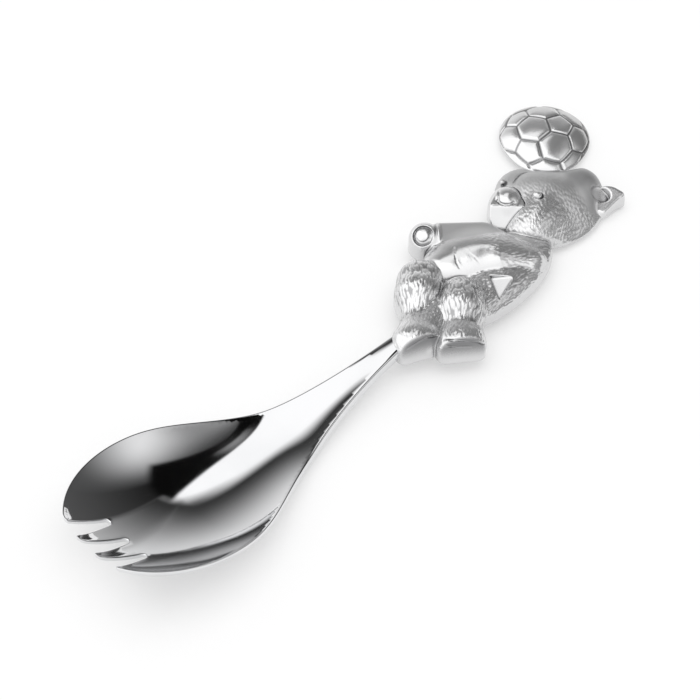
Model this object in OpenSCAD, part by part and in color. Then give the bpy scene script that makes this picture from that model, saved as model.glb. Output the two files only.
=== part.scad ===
// Spork with a cast bear handle, lying on a table.
// Millimetres. +X runs from the tine tips to the handle, +Y to the left, +Z up.
// The origin is the centre of the whole outline, on the table.

/* [Bowl] */
// Widest width of the bowl
bowl_w = 31.8; // [28:0.2:36]
// From the outer tine tips back to the widest point
bowl_front_l = 18.5; // [16:0.5:22]
// Depth of the bowl below its rim
bowl_depth = 6.4; // [5:0.1:8]
// From the tine tips back to the deepest section
bowl_deep_x = 17; // [14:0.5:22]
// From the tine tips back to where the hollow runs out
bowl_end_x = 47; // [42:0.5:52]
// Slope of the rim down from the tine tips
bowl_tilt = 12.5; // [6:0.5:16]
// Sheet thickness of the bowl
bowl_t = 1.15; // [0.9:0.05:1.8]
// Roundness of the hollow's cross-section
bowl_round = 2.2; // [1.8:0.1:3]

/* [Tines] */
// Width across the outer tine tips
tine_span = 14.4; // [12:0.2:18]
// Number of tines
tine_count = 4; // [3:1:5]
// How far the middle tines stand ahead of the outer ones
tine_bow = 0.95; // [0:0.05:2]
// Length of the notches between the tines
notch_l = 7.6; // [4:0.1:9]
// Radius at the root of a notch
notch_r = 0.6; // [0.4:0.05:1]
// Width of a middle tine behind its rounded tip
tine_tip_w = 1.3; // [0.9:0.1:2]
// Length of the rounding at a tine's tip
tine_round_l = 1.1; // [0.6:0.1:2]

/* [Neck and tang] */
// From the tine tips back to the shank's shoulder
shank_x = 73; // [66:0.5:80]
// Width of the shank at its shoulder
shank_w = 3.5; // [3.2:0.1:4.4]
// Thickness of the shank
shank_t = 2.4; // [1.8:0.1:2.6]
// Height of the shank's top above the lowest point of the rim
shank_rise = 3.6; // [3:0.1:4.6]
// How far the bowl keeps its full width past the widest point
shoulder_reach = 15.5; // [12:0.5:20]
// From the tine tips back to the waist that the neck is drawn to
waist_x = 36; // [32:0.5:44]
// Width that the neck is drawn to at the waist
waist_w = 6.6; // [5:0.2:12]
// Crown of the neck's upper face
neck_crown = 0.4; // [0:0.05:0.8]
// Length of the tang inside the handle
tang_l = 14; // [10:0.5:16]
// Step from the shank in to the tang
tang_step = 0.3; // [0.2:0.05:0.5]
// Diameter of the keying holes in the tang
key_d = 1.8; // [1.2:0.1:2.2]
// Gap filled by the bond around the tang
bond_gap = 0.25; // [0.15:0.05:0.4]
// Clearance around the shank at the mouth of the handle
mouth_fit = 0.1; // [0.05:0.05:0.3]

/* [Handle] */
// How far the shank is let into the handle
let_in = 3; // [2:0.1:4]
// Wall of the handle under the shank
back_wall = 0.9; // [0.6:0.1:2]
// Reach of the back edges inside the widest outline, as a share
back_draft = 0.94; // [0.85:0.01:1]

/* [Bear: places from the mouth of the handle, sizes] */
// Head: place of its middle
head_at = [46.5, 5.5, 3.2]; // [0:0.1:70]
// Head: length, width and height
head_size = [23.8, 17.6, 8.6]; // [4:0.1:30]
// Turn of the head
head_turn = -8; // [-20:1:10]
// Cheek: place
cheek_at = [39.8, 4.6, 3.4]; // [0:0.1:70]
// Cheek: size
cheek_size = [12.2, 11.2, 8.2]; // [4:0.1:30]
// Brow over the far eye: place
brow_at = [44.6, 13, 4.2]; // [0:0.1:70]
// Brow: size
brow_size = [9.4, 6.6, 5.8]; // [4:0.1:30]
// Muzzle: place
muzzle_at = [38.3, 10, 5]; // [0:0.1:70]
// Muzzle: size
muzzle_size = [7.4, 7.2, 7.4]; // [4:0.1:30]
// Nose: place
nose_at = [37.2, 12.3, 7.6]; // [0:0.1:70]
// Nose: size
nose_size = [2.9, 2.2, 2]; // [1:0.1:6]
// Length of the smile around the muzzle, in degrees
smile_arc = 84; // [40:1:120]
// Width of the smile's groove
smile_w = 0.5; // [0.3:0.05:0.8]
// Ear: place
ear_at = [57.7, 2.5, 1.8]; // [0:0.1:70]
// Ear: size
ear_size = [6.8, 5.2, 4.4]; // [3:0.1:12]
// Turn of the ear
ear_turn = -35; // [-60:1:0]
// Ear hollow: place
ear_hollow_at = [57.4, 2.7, 4.2]; // [0:0.1:70]
// Ear hollow: size
ear_hollow_size = [4.4, 3.4, 4]; // [2:0.1:8]
// Torso: place
torso_at = [25.5, 4.2, 2.6]; // [0:0.1:70]
// Torso: size
torso_size = [25, 17, 8.6]; // [4:0.1:36]
// Back and rump: place
rump_at = [25.6, -0.9, 2]; // [-2:0.1:70]
// Back and rump: size
rump_size = [29, 11.4, 6.2]; // [4:0.1:36]
// Turn of the back
rump_turn = 4; // [-10:1:12]
// Far shoulder: place
far_shoulder_at = [32, 6.6, 2.9]; // [0:0.1:70]
// Far shoulder: diameter
far_shoulder_d = 7.4; // [6:0.1:9]
// Far wrist: place
far_wrist_at = [24.6, 13, 3.2]; // [0:0.1:70]
// Far wrist: diameter
far_wrist_d = 5.8; // [4.5:0.1:7]
// Far paw: place
far_paw_at = [22.7, 15.2, 3]; // [0:0.1:70]
// Far paw: size
far_paw_size = [6, 6.4, 6.4]; // [3:0.1:12]
// Near shoulder: place
near_shoulder_at = [31.8, -1.5, 3.9]; // [-6:0.1:70]
// Near shoulder: diameter
near_shoulder_d = 6.6; // [5:0.1:9]
// Near hand: place
near_hand_at = [22.5, 3.5, 5.4]; // [-6:0.1:70]
// Near hand: diameter
near_hand_d = 5; // [4:0.1:7]
// Three-sided hollow behind the near arm: its corner by the belly
crook_belly = [24.2, -0.6]; // [-6:0.1:70]
// Hollow behind the near arm: its corner by the shoulder
crook_back = [26.8, -2.9]; // [-6:0.1:70]
// Hollow behind the near arm: its corner by the hip
crook_hip = [22.6, -4.1]; // [-6:0.1:70]
// Hollow behind the near arm: height of its floor
crook_floor = 3.4; // [3:0.1:5]
// Hollow behind the near arm: radius of its corners
crook_r = 0.5; // [0.3:0.1:1]
// Far thigh: place
far_thigh_at = [14.3, 7, 2.2]; // [0:0.1:70]
// Far thigh: diameter
far_thigh_d = 10.2; // [8:0.1:12]
// Far shin: place
far_shin_at = [5, 0.6, 2.4]; // [-6:0.1:70]
// Far shin: diameter
far_shin_d = 7.4; // [6:0.1:9]
// Near thigh: place
near_thigh_at = [17, 0, 2.8]; // [-6:0.1:70]
// Near thigh: diameter
near_thigh_d = 9.6; // [8:0.1:12]
// Near shin: place
near_shin_at = [10.6, -5.4, 2.8]; // [-12:0.1:70]
// Near shin: diameter
near_shin_d = 7.4; // [6:0.1:9]
// Far foot: place
far_foot_at = [3.5, -1.4, 2.6]; // [-6:0.1:70]
// Near foot: place
near_foot_at = [9.8, -7.7, 2.6]; // [-12:0.1:70]
// Feet: length along the sole, depth and height
foot_size = [9, 6.6, 6.8]; // [4:0.1:14]
// Height of the sole that joins the feet
sole_h = 3.4; // [2:0.1:5]
// Lap between the legs: its end by the feet
lap_from = [5.4, -1.6, 1.6]; // [-6:0.1:70]
// Lap: its end by the belly
lap_to = [16, 2, 1.6]; // [-6:0.1:70]
// Lap: diameter
lap_d = 7.8; // [7:0.1:9]
// Turn of the far foot
far_foot_turn = -24; // [-60:1:0]
// Turn of the near foot
near_foot_turn = -38; // [-60:1:0]

/* [Ball] */
// Ball: place of its middle from the mouth of the handle
ball_at = [61.3, 21.2, 1.1]; // [0:0.1:70]
// Diameter of the ball
ball_d = 18; // [17:0.1:19]
// Height of the dome above the ball's widest section
ball_dome = 3.7; // [3:0.1:5]
// Fullness of the dome
ball_round = 2.6; // [2:0.1:3.4]
// How far the ball's back edge is drawn in
ball_back_in = 0.6; // [0.2:0.1:1.2]
// Width of the seams between the panels
seam_w = 0.6; // [0.4:0.05:1]
// Turn, lean and spin of the panels
ball_turn = [-34.4, 19.6, 3.9]; // [-180:0.1:180]
// From the ball's middle to the flat where it sits on the head
ball_seat = 8.6; // [8.2:0.1:8.8]
// Direction of that flat, in plan
ball_seat_turn = 236.7; // [220:1:250]
// Diameter of the peg in the head
peg_d = 0.8; // [0.6:0.05:0.9]
// Length of the peg in the head
peg_l = 3; // [2:0.1:5]
// Height of the peg above the back
peg_h = 0.85; // [0.8:0.05:1]
// Clearance around the peg
peg_fit = 0.05; // [0.03:0.01:0.2]

/* [Hidden] */

// Resolution
front_steps = 12;
rear_steps = 26;
cross_steps = 16;
head_fn = 44;
body_fn = 36;
limb_fn = 24;
small_fn = 16;
peg_fn = 24;
dome_steps = 9;
dome_fn = 48;
// Overlap of cuts and joins, and a length greater than any part
overlap = 1;
tall = 60;

function lerp(a, b, t) = a + (b - a) * t;
function ease(u) = let (c = min(1, max(0, u))) c * c * (3 - 2 * c);
function bezier(p, t) =
    p[0] * pow(1 - t, 3) + p[1] * 3 * t * pow(1 - t, 2) + p[2] * 3 * t * t * (1 - t) + p[3] * pow(t, 3);

// Plan outline: an ellipse from the tine tips to the widest point, then one curve to the shank
tip_angle = asin(tine_span / bowl_w);
front_axis = bowl_front_l / cos(tip_angle);
rear_curve = [
    [bowl_front_l, bowl_w / 2],
    [bowl_front_l + shoulder_reach, bowl_w / 2],
    [waist_x, waist_w / 2],
    [shank_x, shank_w / 2]
];
front_outline = [
    for (i = [0 : front_steps])
        let (a = lerp(tip_angle, 90, i / front_steps))
        [bowl_front_l - front_axis * cos(a), bowl_w / 2 * sin(a)]
];
rear_outline = [for (i = [1 : rear_steps]) bezier(rear_curve, i / rear_steps)];
outline = concat(front_outline, rear_outline);

// Side profile: a straight tilted rim, blended into a neck that arches up to the shank
neck_end_slope = 0.073;
neck_bend = 0.002;
profile_blend = 0.3;
rim_end_back = 4.5;
rim_end_x = bowl_end_x - rim_end_back;
function rim_line(x) = (rim_end_x - x) * tan(bowl_tilt);
function neck_line(x) =
    let (d = shank_x - x)
    shank_rise - neck_end_slope * d - neck_bend * d * d;
function rim_z(x) =
    let (a = rim_line(x), b = neck_line(x))
    (a + b) / 2 + sqrt(pow((a - b) / 2, 2) + profile_blend * profile_blend);

// Hollow of the bowl along its length, from 0 to 1
front_fall = 0.7;
rear_fall = 1.8;
function hollow(x) =
    x < bowl_deep_x
        ? pow(max(0, 1 - pow((bowl_deep_x - x) / (bowl_deep_x + tine_bow), 2)), front_fall)
        : x < bowl_end_x ? pow(cos(90 * (x - bowl_deep_x) / (bowl_end_x - bowl_deep_x)), rear_fall) : 0;
neck_start_x = bowl_end_x - rim_end_back;
neck_full_x = bowl_end_x + rim_end_back;
crown_l = 14;
function crown(x) = neck_crown * ease((x - neck_start_x) / crown_l);
function sheet_t(x) = lerp(bowl_t, shank_t, ease((x - bowl_front_l) / (neck_full_x - bowl_front_l)));
function top_z(x, t) =
    rim_z(x) - bowl_depth * hollow(x) * (1 - pow(abs(t), bowl_round)) + crown(x) * (1 - t * t);
function under_z(x) = top_z(x, 0) - sheet_t(x);
// Height that sets the lowest point of the bowl on the table
lift = -min([for (p = outline) under_z(p[0])]);

// The outer face is drawn in at the rim, as a sheet of even thickness is
rim_inset = 0.35;
neck_inset = 0.3;
function inset(x) = lerp(rim_inset, neck_inset, ease((x - bowl_front_l) / (bowl_end_x - bowl_front_l)));
bow_l = 8;
function bow(x, t) = -tine_bow * (1 - t * t) * (1 - ease(x / bow_l));
function section(p, is_top) = [
    for (j = [0 : cross_steps])
        let (
            t = 2 * j / cross_steps - 1,
            x = p[0] + bow(p[0], t),
            y = t * (p[1] - (is_top ? 0 : inset(p[0]))),
            z = top_z(x, t) - (is_top ? 0 : sheet_t(x))
        )
        [x, y, z + lift]
];

module blade_loft() {
    n = len(outline);
    m = cross_steps + 1;
    points = concat(
        [for (p = outline) each section(p, true)],
        [for (p = outline) each section(p, false)]
    );
    under = n * m;
    faces = concat(
        [for (i = [0 : n - 2], j = [0 : m - 2]) each [
            [i * m + j, i * m + j + 1, (i + 1) * m + j + 1],
            [i * m + j, (i + 1) * m + j + 1, (i + 1) * m + j],
            [under + i * m + j, under + (i + 1) * m + j + 1, under + i * m + j + 1],
            [under + i * m + j, under + (i + 1) * m + j, under + (i + 1) * m + j + 1]
        ]],
        [for (i = [0 : n - 2], j = [0, m - 1])
            let (a = i * m + j, b = (i + 1) * m + j)
            each j == 0
                ? [[a, b, under + b], [a, under + b, under + a]]
                : [[a, under + b, b], [a, under + a, under + b]]],
        [for (i = [0, n - 1], j = [0 : m - 2])
            let (a = i * m + j, b = a + 1)
            each i == 0
                ? [[a, under + b, b], [a, under + a, under + b]]
                : [[a, b, under + b], [a, under + b, under + a]]]
    );
    polyhedron(points, faces);
}

// Notches between the tines; the tines widen from rounded tips to the roots
tine_pitch = tine_span / (tine_count - 1);
notch_end = notch_l + tine_bow - notch_r;
notch_steps = 10;
function tip_round(s) = s < tine_round_l ? sqrt(1 - pow(1 - s / tine_round_l, 2)) : 1;
function tine_w(s) = lerp(tine_tip_w, tine_pitch - 2 * notch_r, s / notch_end) * tip_round(s);
notch_side = [for (i = [0 : notch_steps])
    let (s = notch_end * pow(i / notch_steps, 2))
    [s, (tine_pitch - tine_w(s)) / 2]];
notch_return = [for (i = [notch_steps : -1 : 0]) [notch_side[i][0], -notch_side[i][1]]];
module notches() {
    for (k = [1 : tine_count - 1])
        translate([-tine_bow, (k - tine_count / 2) * tine_pitch, 0])
            linear_extrude(tall) {
                translate([notch_end, 0]) circle(notch_r, $fn = small_fn);
                translate([-overlap, -tine_pitch / 2]) square([overlap, tine_pitch]);
                polygon(concat(notch_side, notch_return));
            }
}

// Tang, level inside the handle
shank_top = neck_line(shank_x) + lift;
tang_w = shank_w - 2 * tang_step;
tang_t = shank_t - 2 * tang_step;
tang_z = shank_top - shank_t + tang_step;
key_share = 0.38;
key_pitch = tang_l * key_share;
module tang() {
    difference() {
        translate([shank_x - overlap, -tang_w / 2, tang_z]) cube([tang_l + overlap, tang_w, tang_t]);
        for (k = [1, 2])
            translate([shank_x + k * key_pitch, 0, tang_z - overlap])
                cylinder(d = key_d, h = tang_t + 2 * overlap, $fn = peg_fn);
    }
}

// The handle's back leans so that the far edge of the ball lies on the table
mouth_x = shank_x - let_in;
mouth_z = shank_top - shank_t - back_wall;
handle_lean = asin(mouth_z / (ball_at[0] + ball_d / 2 - ball_back_in));
module on_handle() {
    translate([mouth_x, 0, mouth_z]) rotate([0, handle_lean, 0]) children();
}

// Outline limits that put the origin in the middle
low_x = -tine_bow;
high_x = mouth_x + (ball_at[0] + ball_d / 2) * cos(handle_lean) + ball_at[2] * sin(handle_lean);
low_y = -bowl_w / 2;
high_y = ball_at[1] + ball_d / 2;
module placed() {
    translate([-(low_x + high_x) / 2, -(low_y + high_y) / 2, 0]) children();
}

// Rounded form that stands on the handle's back with near-upright sides
skirt_share = 0.25;
module form(at, size, turn = 0, fn = body_fn) {
    translate([at[0], at[1], 0]) rotate(turn) hull() {
        translate([0, 0, at[2]]) scale(size / 2) sphere(1, $fn = fn);
        linear_extrude(at[2] * skirt_share)
            scale([size[0] / 2 * back_draft, size[1] / 2 * back_draft]) circle(1, $fn = fn);
    }
}
module ball_form(at, d, fn = limb_fn) {
    form(at, [d, d, d], 0, fn);
}
module limb(a, da, b, db) {
    hull() {
        ball_form(a, da);
        ball_form(b, db);
    }
}
module bead(at, size, fn = small_fn) {
    translate(at) scale(size / 2) sphere(1, $fn = fn);
}

// Land on the head where the ball sits
land_w = 2 * sqrt(pow(ball_d / 2, 2) - ball_seat * ball_seat);
land_h = 2 * peg_h;
module toward_ball_seat() {
    translate([ball_at[0], ball_at[1], 0]) rotate(ball_seat_turn) children();
}
module peg(fit) {
    translate([ball_seat - overlap, 0, peg_h]) rotate([0, 90, 0])
        cylinder(d = peg_d + 2 * fit, h = peg_l + overlap + fit, $fn = peg_fn);
}
module ball_land() {
    hull() {
        toward_ball_seat()
            translate([ball_seat, -land_w / 2, 0]) cube([overlap, land_w, land_h]);
        bead([head_at[0], head_at[1], land_h / 2], [land_w, land_w, land_h]);
    }
}

// Face: muzzle with a nose, and a smile cut around its lower side
smile_lean = 38;
smile_turn = 128;
module muzzle() {
    difference() {
        bead(muzzle_at, muzzle_size, body_fn);
        translate(muzzle_at) rotate([0, 0, smile_turn]) rotate([0, smile_lean, 0]) rotate(-smile_arc / 2)
            rotate_extrude(angle = smile_arc, $fn = body_fn)
                translate([muzzle_size[0] / 2, 0]) circle(d = smile_w, $fn = small_fn);
    }
    bead(nose_at, nose_size);
}

module ear() {
    difference() {
        form(ear_at, ear_size, ear_turn, limb_fn);
        bead(ear_hollow_at, ear_hollow_size);
    }
}

module feet() {
    sole_size = [foot_size[1], foot_size[1], sole_h];
    hull() for (at = [far_foot_at, near_foot_at])
        form([at[0], at[1], sole_h / 2], sole_size, 0, limb_fn);
    form(far_foot_at, foot_size, far_foot_turn, body_fn);
    form(near_foot_at, foot_size, near_foot_turn, body_fn);
}

module crook() {
    translate([0, 0, crook_floor]) linear_extrude(tall)
        hull() for (at = [crook_belly, crook_back, crook_hip])
            translate(at) circle(crook_r, $fn = small_fn);
}

module bear_body() {
    hull() {
        form(head_at, head_size, head_turn, head_fn);
        form(cheek_at, cheek_size);
    }
    form(brow_at, brow_size, 0, limb_fn);
    muzzle();
    ball_land();
    ear();
    difference() {
        union() {
            form(torso_at, torso_size);
            form(rump_at, rump_size, rump_turn);
        }
        crook();
    }
    limb(far_shoulder_at, far_shoulder_d, far_wrist_at, far_wrist_d);
    form(far_paw_at, far_paw_size, 0, limb_fn);
    limb(near_shoulder_at, near_shoulder_d, near_hand_at, near_hand_d);
    limb(far_thigh_at, far_thigh_d, far_shin_at, far_shin_d);
    limb(near_thigh_at, near_thigh_d, near_shin_at, near_shin_d);
    limb(lap_from, lap_d, lap_to, lap_d);
    feet();
}

// Pocket for the tang with its bond, and the mouth that takes the shank
module bond_block() {
    translate([shank_x, -tang_w / 2 - bond_gap, tang_z - bond_gap])
        cube([tang_l + bond_gap, tang_w + 2 * bond_gap, tang_t + 2 * bond_gap]);
}
module shank_mouth() {
    translate([shank_x - let_in - tang_l, -shank_w / 2 - mouth_fit, shank_top - shank_t - mouth_fit])
        cube([let_in + tang_l, shank_w + 2 * mouth_fit, shank_t + 2 * mouth_fit + neck_crown]);
}

module spork_blade() {
    color("silver") placed() {
        difference() {
            blade_loft();
            notches();
        }
        tang();
    }
}

module bear_casting() {
    color("darkgray") placed() difference() {
        on_handle() difference() {
            bear_body();
            translate([-tall, -tall, -tall]) cube([3 * tall, 2 * tall, tall]);
            toward_ball_seat() {
                translate([-tall + ball_seat, -tall / 2, -tall / 2]) cube([tall, tall, tall]);
                peg(peg_fit);
            }
        }
        bond_block();
        shank_mouth();
    }
}

// Panel pattern of the ball: twelve five-sided panels among six-sided ones
ring_angle = 63.435;
function polar(a, b) = [sin(a) * cos(b), sin(a) * sin(b), cos(a)];
corners = concat(
    [[0, 0, 1]],
    [for (k = [0 : 4]) polar(ring_angle, 72 * k)],
    [for (k = [0 : 4]) polar(180 - ring_angle, 72 * k + 36)],
    [[0, 0, -1]]
);
function near(a, b) = norm(a - b) > 0.1 && norm(a - b) < 1.2;
function unit(v) = v / norm(v);
function spin_z(v, a) = [v[0] * cos(a) - v[1] * sin(a), v[0] * sin(a) + v[1] * cos(a), v[2]];
function spin_y(v, a) = [v[0] * cos(a) + v[2] * sin(a), v[1], v[2] * cos(a) - v[0] * sin(a)];
function panel_dir(v) = spin_z(spin_y(spin_z(unit(v), ball_turn[2]), ball_turn[1]), ball_turn[0]);
function dome_z(r) = ball_dome * (1 - pow(r, ball_round));
function on_dome(v) =
    let (q = panel_dir(v))
    [q[0] * ball_d / 2, q[1] * ball_d / 2, dome_z(norm([q[0], q[1]]))];
seams = concat(
    [for (i = [0 : 11], j = [0 : 11]) if (i < j && near(corners[i], corners[j]))
        [lerp(corners[i], corners[j], 1 / 3), lerp(corners[i], corners[j], 2 / 3)]],
    [for (i = [0 : 11], j = [0 : 11], k = [0 : 11])
        if (j < k && near(corners[i], corners[j])
            && near(corners[i], corners[k]) && near(corners[j], corners[k]))
        [lerp(corners[i], corners[j], 1 / 3), lerp(corners[i], corners[k], 1 / 3)]]
);
shown = 0.1;
module seam_cuts() {
    for (s = seams)
        if (panel_dir(s[0] + s[1])[2] > shown)
            hull() for (e = s) translate(on_dome(e)) sphere(d = seam_w, $fn = 4);
}
module ball_dome_solid() {
    rotate_extrude($fn = dome_fn)
        polygon(concat(
            [[0, -ball_at[2]], [ball_d / 2 - ball_back_in, -ball_at[2]]],
            [for (k = [0 : dome_steps])
                let (r = cos(90 * k / dome_steps)) [ball_d / 2 * r, dome_z(r)]]
        ));
}

module ball_casting() {
    color("lightgray") placed() on_handle() {
        difference() {
            translate(ball_at) difference() {
                ball_dome_solid();
                seam_cuts();
            }
            toward_ball_seat() translate([ball_seat, -tall / 2, -tall / 2]) cube([tall, tall, tall]);
        }
        toward_ball_seat() peg(0);
    }
}

module tang_bond() {
    color("tan") placed() difference() {
        bond_block();
        tang();
    }
}

spork_blade();
bear_casting();
ball_casting();
tang_bond();
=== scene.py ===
import math
import bpy
import bmesh
import numpy as np
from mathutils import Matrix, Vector
from mathutils.geometry import delaunay_2d_cdt


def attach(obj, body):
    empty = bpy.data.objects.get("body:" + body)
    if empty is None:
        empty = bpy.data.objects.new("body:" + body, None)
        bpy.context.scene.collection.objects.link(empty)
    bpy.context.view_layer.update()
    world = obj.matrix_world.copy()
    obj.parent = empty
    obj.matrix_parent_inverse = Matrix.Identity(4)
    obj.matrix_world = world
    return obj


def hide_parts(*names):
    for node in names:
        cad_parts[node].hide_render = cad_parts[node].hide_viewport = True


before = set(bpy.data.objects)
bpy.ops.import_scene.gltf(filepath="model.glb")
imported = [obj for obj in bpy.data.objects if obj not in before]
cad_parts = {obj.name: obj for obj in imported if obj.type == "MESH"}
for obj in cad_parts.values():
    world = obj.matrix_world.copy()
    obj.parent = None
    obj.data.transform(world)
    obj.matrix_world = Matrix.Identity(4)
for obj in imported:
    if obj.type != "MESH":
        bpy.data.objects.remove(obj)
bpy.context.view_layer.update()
print("spork: frame loaded, nodes", sorted(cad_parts))

# From the blade's own drawing to the part's frame, and the handle's place on that drawing
# in millimetres and degrees
drawn = {"middle": (69.664, 7.15), "mouth": (70.0, 3.14713), "lean": 2.58793}
milli = 0.001
faceUp = np.array((0.683, 0.73))  # up and right on the bear's face, in plan
faceRight = np.array((0.73, -0.683))


def placed(points):  # millimetres of the blade's drawing to metres of the part
    p = np.asarray(points, float).copy()
    p[:, 0] -= drawn["middle"][0]
    p[:, 1] -= drawn["middle"][1]
    return p * milli


def placedHandle(points):  # handle millimetres (along, across, up) to metres of the part
    p = np.asarray(points, float)
    c, s = math.cos(math.radians(drawn["lean"])), math.sin(math.radians(drawn["lean"]))
    x = drawn["mouth"][0] + p[:, 0] * c + p[:, 2] * s
    z = drawn["mouth"][1] - p[:, 0] * s + p[:, 2] * c
    return placed(np.stack([x, p[:, 1], z], 1))


def ease(a, b, x):  # 0 at a, 1 at b, smooth between
    t = np.clip((x - a) / (b - a), 0, 1)
    return t * t * (3 - 2 * t)


def meshObject(name, points, faces, smooth=True):
    mesh = bpy.data.meshes.new(name)
    mesh.from_pydata([tuple(v) for v in points], [], [tuple(int(i) for i in f) for f in faces])
    mesh.update()
    mesh.polygons.foreach_set("use_smooth", [smooth] * len(mesh.polygons))
    obj = bpy.data.objects.new(name, mesh)
    bpy.context.scene.collection.objects.link(obj)
    return obj


def pointValue(mesh, name, values, kind="FLOAT"):
    a = mesh.attributes.new(name, kind, "POINT")
    a.data.foreach_set("vector" if kind == "FLOAT_VECTOR" else "value", np.asarray(values, np.float32).ravel())


# Shader helpers; each takes a plain value or a socket
def feed(tree, value, socket):
    if hasattr(value, "is_linked"):
        tree.links.new(value, socket)
    else:
        socket.default_value = value


def link(tree, a, b):
    tree.links.new(a, b)


def setInputs(node, **values):
    for name, value in values.items():
        node.inputs[name].default_value = value


def mathNode(tree, operation, a, b=None, c=None, clamp=False):
    n = tree.nodes.new("ShaderNodeMath")
    n.operation = operation
    n.use_clamp = clamp
    for i, v in enumerate((a, b, c)):
        if v is not None:
            feed(tree, v, n.inputs[i])
    return n.outputs[0]


def times(tree, a, b):
    return mathNode(tree, "MULTIPLY", a, b)


def plus(tree, a, b):
    return mathNode(tree, "ADD", a, b)


def noiseNode(tree, place, scale, detail=2.0, rough=0.5):
    n = tree.nodes.new("ShaderNodeTexNoise")
    setInputs(n, Scale=scale, Detail=detail, Roughness=rough)
    link(tree, place, n.inputs["Vector"])
    return n.outputs["Fac"]


def rangeNode(tree, value, a, b, c, d, kind="SMOOTHSTEP"):
    n = tree.nodes.new("ShaderNodeMapRange")
    n.interpolation_type = kind
    for i, v in enumerate((value, a, b, c, d)):
        feed(tree, v, n.inputs[i])
    return n.outputs[0]


def attributeNode(tree, name):
    n = tree.nodes.new("ShaderNodeAttribute")
    n.attribute_type = "GEOMETRY"
    n.attribute_name = name
    return n.outputs["Fac"]


def mixColour(tree, amount, a, b):
    n = tree.nodes.new("ShaderNodeMix")
    n.data_type = "RGBA"
    feed(tree, amount, n.inputs[0])
    for i, v in ((6, a), (7, b)):
        feed(tree, v if hasattr(v, "is_linked") else (*v, 1), n.inputs[i])
    return n.outputs[2]


# Haze from handling, fine polishing lines and pitting; scales per metre
grainScale = {"haze": 70, "pits": 5200, "lines": (260, 5200, 2600), "linesTurn": 0.35}


def metalGrainGroup():  # shared by all the finishes
    g = bpy.data.node_groups.new("metalGrain", "ShaderNodeTree")
    g.interface.new_socket("Place", in_out="INPUT", socket_type="NodeSocketVector")
    for name in ("Haze", "Lines", "Grain"):
        g.interface.new_socket(name, in_out="INPUT", socket_type="NodeSocketFloat")
    for name in ("Roughness", "Tone", "Height"):
        g.interface.new_socket(name, in_out="OUTPUT", socket_type="NodeSocketFloat")
    a, z = g.nodes.new("NodeGroupInput"), g.nodes.new("NodeGroupOutput")
    place = a.outputs["Place"]
    haze = rangeNode(g, noiseNode(g, place, grainScale["haze"], 3), 0.35, 0.7, 0.0, 1.0)
    turn = g.nodes.new("ShaderNodeMapping")
    setInputs(turn, Rotation=(0, 0, grainScale["linesTurn"]), Scale=grainScale["lines"])
    link(g, place, turn.inputs["Vector"])
    lines = rangeNode(g, noiseNode(g, turn.outputs["Vector"], 1.0, 1), 0.4, 0.68, 0.0, 1.0)
    grain = noiseNode(g, place, grainScale["pits"], 2, 0.6)
    scratches = times(g, lines, a.outputs["Lines"])
    link(g, plus(g, times(g, haze, a.outputs["Haze"]), scratches), z.inputs["Roughness"])
    link(g, plus(g, times(g, haze, 0.6), times(g, grain, 0.4)), z.inputs["Tone"])
    link(g, plus(g, times(g, grain, a.outputs["Grain"]), scratches), z.inputs["Height"])
    return g


metalGrain = metalGrainGroup()

# Finishes: two tones, the grain's share in haze, lines and pits, base roughness and depth of the pits in metres
finish = {
    "steel": {
        "tones": ((0.80, 0.80, 0.81), (0.72, 0.725, 0.735)), "grain": (0.03, 0.012, 0.0), "rough": 0.045,
        "metal": 1.0,
    },
    "bear": {
        "tones": ((0.74, 0.74, 0.745), (0.66, 0.66, 0.665)), "grain": (0.07, 0.04, 0.6), "rough": 0.13,
        # hollow: colour of the dark patina in the hollows, also used for the painted shade
        "pits": 0.000012, "metal": 0.75, "hollow": (0.12, 0.12, 0.125), "hollowRough": 0.15,
        "matte": (0.3, 0.3, 0.3), "matteTone": 0.3, "matteRough": 0.25,  # parts that were never rubbed bright
    },
    "ball": {
        "tones": ((0.74, 0.74, 0.745), (0.66, 0.66, 0.665)), "grain": (0.07, 0.04, 1.0), "rough": 0.15,
        # shade: colour of the painted shade on one side of the ball
        "pits": 0.00002, "metal": 0.75, "shade": (0.3, 0.295, 0.29),
        "seam": (0.1, 0.1, 0.105), "seamTone": 0.75,
    },
    "epoxy": {
        # dark patina in the hollows, with painted shade on the soles, behind the ear and on the bridge to the
        # ball
        "tones": ((0.42, 0.40, 0.35), (0.30, 0.28, 0.24)), "grain": (0.25, 0.0, 1.0), "rough": 0.35,
        "pits": 0.00003, "metal": 0.0,
    },
}


def newMaterial(name):
    m = bpy.data.materials.new(name)
    m.use_nodes = True
    return m, m.node_tree, m.node_tree.nodes["Principled BSDF"]


def grainIn(tree, own):
    n = tree.nodes.new("ShaderNodeGroup")
    n.node_tree = metalGrain
    c = tree.nodes.new("ShaderNodeTexCoord")
    link(tree, c.outputs["Object"], n.inputs["Place"])
    setInputs(n, **dict(zip(("Haze", "Lines", "Grain"), own["grain"])))
    return n, mixColour(tree, n.outputs["Tone"], *own["tones"])


def bumpIn(tree, shader, height, depth):
    b = tree.nodes.new("ShaderNodeBump")
    setInputs(b, Strength=1.0, Distance=depth)
    link(tree, height, b.inputs["Height"])
    link(tree, b.outputs["Normal"], shader.inputs["Normal"])


def antiqued(t, own, bright):  # burnished on the high places, dark patina left in the hollows, and painted shade on the soles, behind the ear and on the bridge to the ball
    strokes = rangeNode(t, attributeNode(t, "furLow"), 0.6, 1.0, 0.0, 0.6)
    hollowsAndShade = rangeNode(t, attributeNode(t, "patinaAndShade"), 0.25, 0.9, 0.0, 0.95)
    darkening = mathNode(t, "ADD", strokes, hollowsAndShade, clamp=True)
    matte = attributeNode(t, "matte")
    bright = mixColour(t, times(t, matte, own["matteTone"]), bright, own["matte"])
    dull = plus(t, times(t, darkening, own["hollowRough"]), times(t, matte, own["matteRough"]))
    return mixColour(t, darkening, bright, own["hollow"]), dull


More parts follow.
